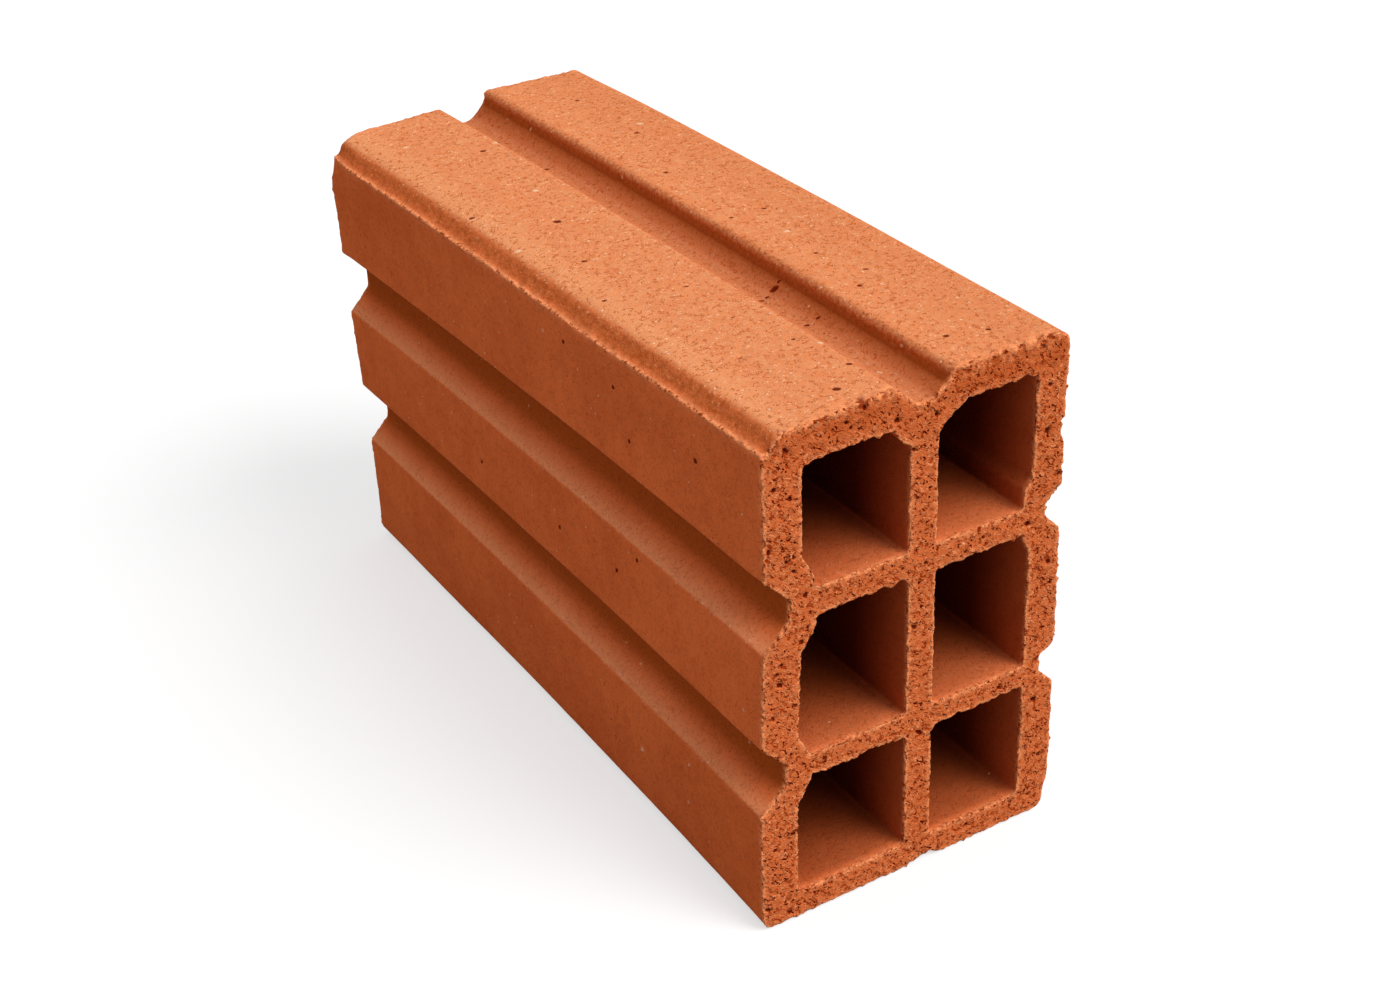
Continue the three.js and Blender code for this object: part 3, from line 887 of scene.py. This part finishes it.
class Graph:
    """Makes and links the nodes of a material or a world. Sizes are in millimetres."""

    def __init__(self, owner):
        owner.use_nodes = True
        self.tree = owner.node_tree
        self.tree.nodes.clear()

    def node(self, kind, inputs=(), **settings):
        """One node with these settings; each input is given a value, or linked to a socket."""
        made = self.tree.nodes.new("ShaderNode" + kind)
        for name, value in settings.items():
            setattr(made, name, value)
        for name, value in dict(inputs).items():
            if isinstance(value, bpy.types.NodeSocket):
                self.tree.links.new(value, made.inputs[name])
            else:
                made.inputs[name].default_value = value
        return made

    def math(self, operation, a, b=0.0, clamp=False):
        return self.node("Math", {0: a, 1: b}, operation=operation, use_clamp=clamp).outputs[0]

    def add(self, *terms):
        return reduce(lambda a, b: self.math("ADD", a, b), terms)

    def times(self, *factors):
        return reduce(lambda a, b: self.math("MULTIPLY", a, b), factors)

    def span(self, value, low, high, to_low=0.0, to_high=1.0):
        """The value carried smoothly from low..high to to_low..to_high."""
        inputs = {"Value": value, "From Min": low, "From Max": high,
                  "To Min": to_low, "To Max": to_high}
        return self.node("MapRange", inputs, interpolation_type="SMOOTHSTEP").outputs["Result"]

    def blend(self, share, a, b):
        """Colour a going to colour b by the share."""
        made = self.node("Mix", {"Factor": share}, data_type="RGBA")
        for socket, value in ((made.inputs[6], a), (made.inputs[7], b)):
            if isinstance(value, bpy.types.NodeSocket):
                self.tree.links.new(value, socket)
            else:
                socket.default_value = (*value, 1)
        return made.outputs[2]

    def layers(self, colour, rows):
        """The colour with further ones laid over it, each by its share."""
        for share, over in rows:
            colour = self.blend(share, colour, over)
        return colour

    def noise(self, place, size, detail=2.0, rough=0.5, warp=0.0):
        """Noise with features of this many millimetres, about 0 to 1."""
        return self.node("TexNoise", {"Vector": place, "Scale": 1 / (size * MM), "Detail": detail,
                                      "Roughness": rough, "Distortion": warp}).outputs["Fac"]

    def shifted(self, place, by):
        """The same place, moved this many millimetres, for a pattern of its own."""
        return self.node("VectorMath", {0: place, 1: (by * MM, 1.7 * by * MM, -by * MM)},
                         operation="ADD").outputs[0]

    def drawn_out(self, place, scale, turn=0.0):
        """The place for a pattern drawn out by these scales and turned about the brick's length."""
        return self.node("Mapping", {"Vector": place, "Rotation": (0, turn, 0), "Scale": scale},
                         vector_type="TEXTURE").outputs[0]

    def curls(self, place, size, width):
        """Thin crooked lines, where a noise crosses its middle."""
        off = self.math("SUBTRACT", self.noise(place, size, 1, 0.5, 0.9), 0.5)
        return self.span(self.math("ABSOLUTE", off), width, width * 0.3)

    def grade(self, name):
        """A grade that the mesh keeps at each point."""
        return self.node("Attribute", attribute_name=name).outputs["Fac"]

    def specks(self, place, size, share, reach):
        """Round specks: this share of the cells of this size has one, with this reach in cells."""
        cells = self.node("TexVoronoi", {"Vector": place, "Scale": 1 / (size * MM)}).outputs
        pick = self.node("SeparateColor", {"Color": cells["Color"]}).outputs["Red"]
        near = self.span(cells["Distance"], reach, reach * 0.6)
        return self.times(near, self.span(pick, share, share * 0.8))


# Colours of the clay, linear
CLAY_SKIN = (0.855, 0.177, 0.048)
CLAY_SKIN_DEEP = (0.732, 0.136, 0.035)
CLAY_SKIN_LIGHT = (0.820, 0.205, 0.050)
# Deep red: the clay's own dark streaks and chips, and painted shade in the grooves and on the top's
# cheek
DEEP_RED_AND_PAINTED_SHADE = (0.410, 0.076, 0.012)
# Pale red: painted highlight on the lips
PAINTED_HIGHLIGHT_CLAY = (0.930, 0.315, 0.135)
# The lip's band: its own streaky red, made darker as painted shade
CLAY_BAND_AND_SHADE = (0.725, 0.168, 0.048)
CLAY_BAND_DEEP_AND_SHADE = (0.570, 0.118, 0.029)
CLAY_CUT = (0.675, 0.149, 0.042)
CLAY_CUT_LIGHT = (0.950, 0.335, 0.140)
CLAY_CUT_DEEP = (0.570, 0.114, 0.028)
# Near black: painted shade deep in the cells and in the top's groove
PAINTED_CELL_SHADE = (0.090, 0.013, 0.0025)
# Pale dust, which also stands for painted light on upward faces; the paler one also paints the
# shoulder's highlight
PALE_DUST_AND_LIGHT = (0.735, 0.239, 0.094)
PALER_DUST_AND_HIGHLIGHT = (0.850, 0.345, 0.150)
# Near black: painted shade in pores and pits
PORE_SHADE = (0.130, 0.0060, 0.0004)
CRACK = (0.300, 0.022, 0.0010)
# Painted shade in the rims' notches; below it, pale clay crumbs that also carry painted highlight
# on proud teeth
GAP_SHADE = (0.220, 0.018, 0.0010)
CRUMB_AND_HIGHLIGHT = (1.000, 0.340, 0.135)
STREAK = (0.560, 0.125, 0.036)
FLECK = (1.000, 0.470, 0.250)
LIME = (0.900, 0.600, 0.380)
CINDER = (0.070, 0.040, 0.030)


def clay_textures(g):
    """The patterns that the clay's colours and its bump are made of."""
    place = g.node("TexCoord").outputs["Object"]
    strokes = g.drawn_out(place, (1.9, 1.0, 0.9), -WIRE_ANGLE)
    patches = g.noise(place, 1.6, 1)
    pale_curls = g.times(g.curls(g.shifted(place, 40), 1.5, 0.04), g.span(patches, 0.48, 0.42))
    pits = g.span(g.noise(g.shifted(strokes, 90), 0.9, 2, 0.55, 0.6), 0.36, 0.335)
    return SimpleNamespace(
        place=place,
        cloud=g.noise(place, 38, 3, 0.55),
        drift=g.noise(place, 3.0),
        mottle=g.noise(place, 7, 4, 0.6, 0.4),
        fleck=g.noise(place, 1.1, 3, 0.65, 1.2),
        sand=g.noise(place, 0.5, 2, 0.6),
        grit=g.noise(place, 0.4, 2, 0.6),
        chips=g.noise(g.shifted(place, 25), 1.1, 2, 0.6),
        stroke=g.noise(strokes, 0.5, 3, 0.6, 0.8),
        curls=g.times(g.curls(place, 1.7, 0.045), g.span(patches, 0.52, 0.58)),
        pale_curls=pale_curls,
        sparks=g.math("MAXIMUM", pale_curls, g.specks(g.shifted(place, 55), 2.1, 0.5, 0.16)),
        cut_curls=g.times(g.curls(strokes, 1.2, 0.07), g.span(patches, 0.50, 0.56)),
        cut_pale=g.times(g.curls(g.shifted(strokes, 40), 1.2, 0.05), g.span(patches, 0.56, 0.50)),
        holes=g.math("MAXIMUM", pits, g.specks(g.shifted(place, 60), 2.0, 0.7, 0.18)))


def skin_colour(g, t):
    """The die-formed skin: patchy red clay, dusty and painted lighter on top, streaked and flecked,
    with painted shade in recesses and painted highlights on its lips.
    """
    tint = g.span(g.add(g.times(t.cloud, 0.6), g.times(t.mottle, 0.4)), 0.35, 0.65)
    dust_and_painted_light = g.times(g.grade("dust_and_painted_light"), g.span(t.mottle, 0.2, 0.6, 0.84, 1.0))
    powder = g.add(g.times(g.span(t.sand, 0.45, 0.70), 0.45),
                   g.times(g.span(t.drift, 0.45, 0.65), 0.3))
    streaks = g.math("MAXIMUM", t.curls, g.specks(g.shifted(t.place, 35), 1.9, 0.5, 0.17))
    flecks = g.specks(g.shifted(t.place, 15), 3.4, 0.4, 0.12)
    streaky_band_and_shade, worn = g.grade("streaky_band_and_shade"), g.grade("worn")
    drawn = g.drawn_out(t.place, (1, 2.4, 1))
    blotch = g.span(g.noise(drawn, 1.2, 3, 0.6, 0.5), 0.35, 0.65)
    return g.layers(g.blend(tint, CLAY_SKIN_DEEP, CLAY_SKIN), (
        (g.times(g.span(t.fleck, 0.5, 0.75), 0.45), CLAY_SKIN_LIGHT),
        # dust, with painted light on the upward faces
        (dust_and_painted_light, g.blend(powder, PALE_DUST_AND_LIGHT, PALER_DUST_AND_HIGHLIGHT)),
        # painted highlight on the top left lip's shoulder
        (g.times(g.grade("painted_shoulder_highlight"), 0.45), PALER_DUST_AND_HIGHLIGHT),
        (g.times(g.span(t.fleck, 0.42, 0.28), 0.25), CLAY_SKIN_DEEP),
        # painted highlight on the side grooves' lower lips and on the top left lip's crest
        (g.times(g.grade("painted_lip_highlight"), 0.85), PAINTED_HIGHLIGHT_CLAY),
        (g.times(streaks, g.span(dust_and_painted_light, 0, 1, 0.2, 0.9)), g.blend(dust_and_painted_light, DEEP_RED_AND_PAINTED_SHADE, STREAK)),
        (g.times(t.sparks, g.span(dust_and_painted_light, 0, 1, 0.08, 0.85)), FLECK),
        # the lip's band: streaky red clay, darkened as painted shade
        (streaky_band_and_shade, g.blend(blotch, CLAY_BAND_DEEP_AND_SHADE, CLAY_BAND_AND_SHADE)),
        (g.times(streaky_band_and_shade, g.curls(drawn, 1.1, 0.03), 0.5), DEEP_RED_AND_PAINTED_SHADE),
        (g.times(streaky_band_and_shade, t.sparks, 0.5), CRUMB_AND_HIGHLIGHT),
        (g.times(flecks, g.span(dust_and_painted_light, 0.2, 0.9)), LIME),
        # painted shade in the grooves, on the top's cheek, on the right land and on the left foot
        # near the front
        (g.grade("painted_shade"), DEEP_RED_AND_PAINTED_SHADE),
        (g.times(worn, g.span(t.chips, 0.50, 0.56), 0.8), CRUMB_AND_HIGHLIGHT),
        (g.times(worn, g.span(t.chips, 0.46, 0.40)), DEEP_RED_AND_PAINTED_SHADE),
        # painted shade deep in the cells and in the top's groove
        (g.grade("hollow"), PAINTED_CELL_SHADE)))


def cut_colour(g, t):
    """The wire-cut face: stroked, cracked and full of pores, painted dark as the shade inside them.
    """
    ripped = g.times(g.grade("ripped"), g.span(t.mottle, 0.4, 0.6, 0.45, 0.95))
    return g.layers(g.blend(g.span(t.stroke, 0.34, 0.58), CLAY_CUT_DEEP, CLAY_CUT), (
        (g.times(g.span(t.stroke, 0.60, 0.68), 0.5), CLAY_CUT_LIGHT),
        (g.times(t.cut_pale, 0.6), CLAY_CUT_LIGHT),
        (ripped, CLAY_CUT_DEEP),
        (g.times(t.cut_curls, 0.85), CRACK),
        # painted shade in the small pores
        (t.holes, PORE_SHADE)))


def marked(g, t, colour):
    """The colour with the rims' pale crumbs and dark notches, painted highlight and shade that
    follow their teeth, grains of lime and cinder, and the marks.
    """
    torn, rim = g.grade("torn"), g.grade("rim")
    crumbs = g.math("MAXIMUM", torn, g.times(rim, g.span(t.chips, 0.43, 0.50)))
    gap_shade = g.math("MAXIMUM", g.math("MULTIPLY", torn, -0.9, clamp=True),
                  g.times(rim, g.span(t.chips, 0.37, 0.33)))
    return g.layers(colour, (
        # pale crumbs, with painted highlight on the rims' proud teeth
        (g.times(crumbs, 0.9), CRUMB_AND_HIGHLIGHT),
        # painted shade in the rims' notches
        (gap_shade, GAP_SHADE),
        (g.times(g.specks(t.place, 3.4, 0.07, 0.1), 0.8), LIME),
        (g.times(g.specks(t.place, 4.1, 0.07, 0.09), 0.85), CINDER),
        (g.grade("pale"), LIME),
        # painted shade in the sunk pits and pores
        (g.times(g.span(g.grade("dark"), 0.1, 0.65), 0.92), PORE_SHADE)))


def bumped(g, t, cut):
    """The shading normal: fine grain on the skin, coarse grain and pores on the cut faces."""
    smooth = g.add(g.times(t.fleck, 0.08), g.times(t.sand, 0.05), g.times(t.curls, -0.12),
                   g.times(t.pale_curls, 0.10))
    rough = g.add(g.times(t.stroke, 0.25), g.times(t.grit, 0.10), g.times(t.holes, -0.6),
                  g.times(t.cut_curls, -0.20), g.times(t.cut_pale, 0.15))
    height = g.node("Mix", {"Factor": cut, 2: smooth, 3: rough}, data_type="FLOAT").outputs[0]
    return g.node("Bump", {"Height": height, "Distance": MM, "Strength": 1.0}).outputs["Normal"]


def fired_clay():
    """Terracotta: dusty and painted lighter on top, deeper red on its sides with painted shade in
    its grooves and cells, granular where the wire cut it.
    """
    material = bpy.data.materials.new("fired_clay")
    g = Graph(material)
    t, cut = clay_textures(g), g.grade("cut")
    colour = marked(g, t, g.blend(cut, skin_colour(g, t), cut_colour(g, t)))
    roughness = g.span(g.add(g.times(t.mottle, 0.5), g.times(t.fleck, 0.5)), 0.3, 0.7, 0.82, 0.95)
    shader = g.node("BsdfPrincipled", {"Base Color": colour, "Roughness": roughness,
                                       "Normal": bumped(g, t, cut), "Specular IOR Level": 0.0})
    g.node("OutputMaterial", {"Surface": shader.outputs[0]})
    return material


# ---- studio

# How far the floor reaches, in metres; its colour and glow as the camera sees it, and its colour
# as it lights the brick
FLOOR_REACH = 30.0
FLOOR_SEEN = (0.44, 0.44, 0.44, 1)
FLOOR_GLOW = 0.60
FLOOR_LIT = (0.28, 0.28, 0.28, 1)
WHITE = (1, 1, 1, 1)
AMBIENT = 0.54
# The key light: its way, its strength and how wide it is in the sky
KEY_WAY = (-0.48, 0.88, -0.95)
KEY_STRENGTH = 2.7
KEY_SOFTNESS = math.radians(40)

# The photograph's camera, as fitted to the brick's edges. The clip distances are in metres.
LENS, SENSOR = 52.891, 36
CLIP = (0.01, 100)
CAMERA_PLACE = (-259.774, -455.070, 355.400)
CAMERA_AZIMUTH = math.radians(30.760)
CAMERA_FALL = math.radians(29.882)
CAMERA_ROLL = math.radians(-2.260)


def by_ray(g, lit, shown):
    """One shader where it lights the brick, the other where it is seen, by gloss or glass too."""
    path = g.node("LightPath").outputs
    seen = g.math("MAXIMUM", path["Is Camera Ray"], path["Is Glossy Ray"])
    seen = g.math("MAXIMUM", seen, path["Is Transmission Ray"])
    return g.node("MixShader", {0: seen, 1: lit, 2: shown}).outputs[0]


def floor_material():
    """White with the brick's shadow where it is seen, and pale grey where it lights the brick."""
    material = bpy.data.materials.new("pale_floor")
    g = Graph(material)
    lit = g.node("BsdfDiffuse", {"Color": FLOOR_LIT}).outputs[0]
    shown = g.node("BsdfDiffuse", {"Color": FLOOR_SEEN}).outputs[0]
    glow = g.node("Emission", {"Color": WHITE, "Strength": FLOOR_GLOW}).outputs[0]
    shown = g.node("AddShader", {0: shown, 1: glow}).outputs[0]
    g.node("OutputMaterial", {"Surface": by_ray(g, lit, shown)})
    return material


def studio_floor():
    """A plain pale floor."""
    mesh = bpy.data.meshes.new("floor")
    reach = FLOOR_REACH
    corners = (-reach, -reach, 0), (reach, -reach, 0), (reach, reach, 0), (-reach, reach, 0)
    mesh.from_pydata(corners, [], [(0, 1, 2, 3)])
    mesh.materials.append(floor_material())
    return placed("floor", mesh)


def studio_light():
    """A white surround that lights the brick softly, and a wide key light."""
    world = bpy.data.worlds.new("studio")
    g = Graph(world)
    ambient = g.node("Background", {"Color": WHITE, "Strength": AMBIENT}).outputs[0]
    white = g.node("Background", {"Color": WHITE, "Strength": 1.0}).outputs[0]
    g.node("OutputWorld", {"Surface": by_ray(g, ambient, white)})
    bpy.context.scene.world = world

    lamp = bpy.data.lights.new("key", "SUN")
    lamp.energy, lamp.angle = KEY_STRENGTH, KEY_SOFTNESS
    key = placed("key", lamp)
    key.rotation_mode = "QUATERNION"
    key.rotation_quaternion = Vector(KEY_WAY).to_track_quat("-Z", "Y")


def camera():
    """The photograph's camera."""
    lens = bpy.data.cameras.new("camera")
    lens.lens, lens.sensor_width = LENS, SENSOR
    lens.clip_start, lens.clip_end = CLIP
    stand = Matrix.Translation(Vector(CAMERA_PLACE) * MM) @ Matrix.Rotation(-CAMERA_AZIMUTH, 4, "Z")
    tilt = Matrix.Rotation(math.pi / 2 - CAMERA_FALL, 4, "X") @ Matrix.Rotation(CAMERA_ROLL, 4, "Z")
    view = placed("camera", lens)
    view.matrix_world = stand @ tilt
    bpy.context.scene.camera = view


brick = build_brick(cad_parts["brick"])
brick.data.materials.append(fired_clay())
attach(brick, "root")
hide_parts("brick")
floor = studio_floor()
studio_light()
camera()
bpy.context.scene.view_settings.view_transform = "Standard"
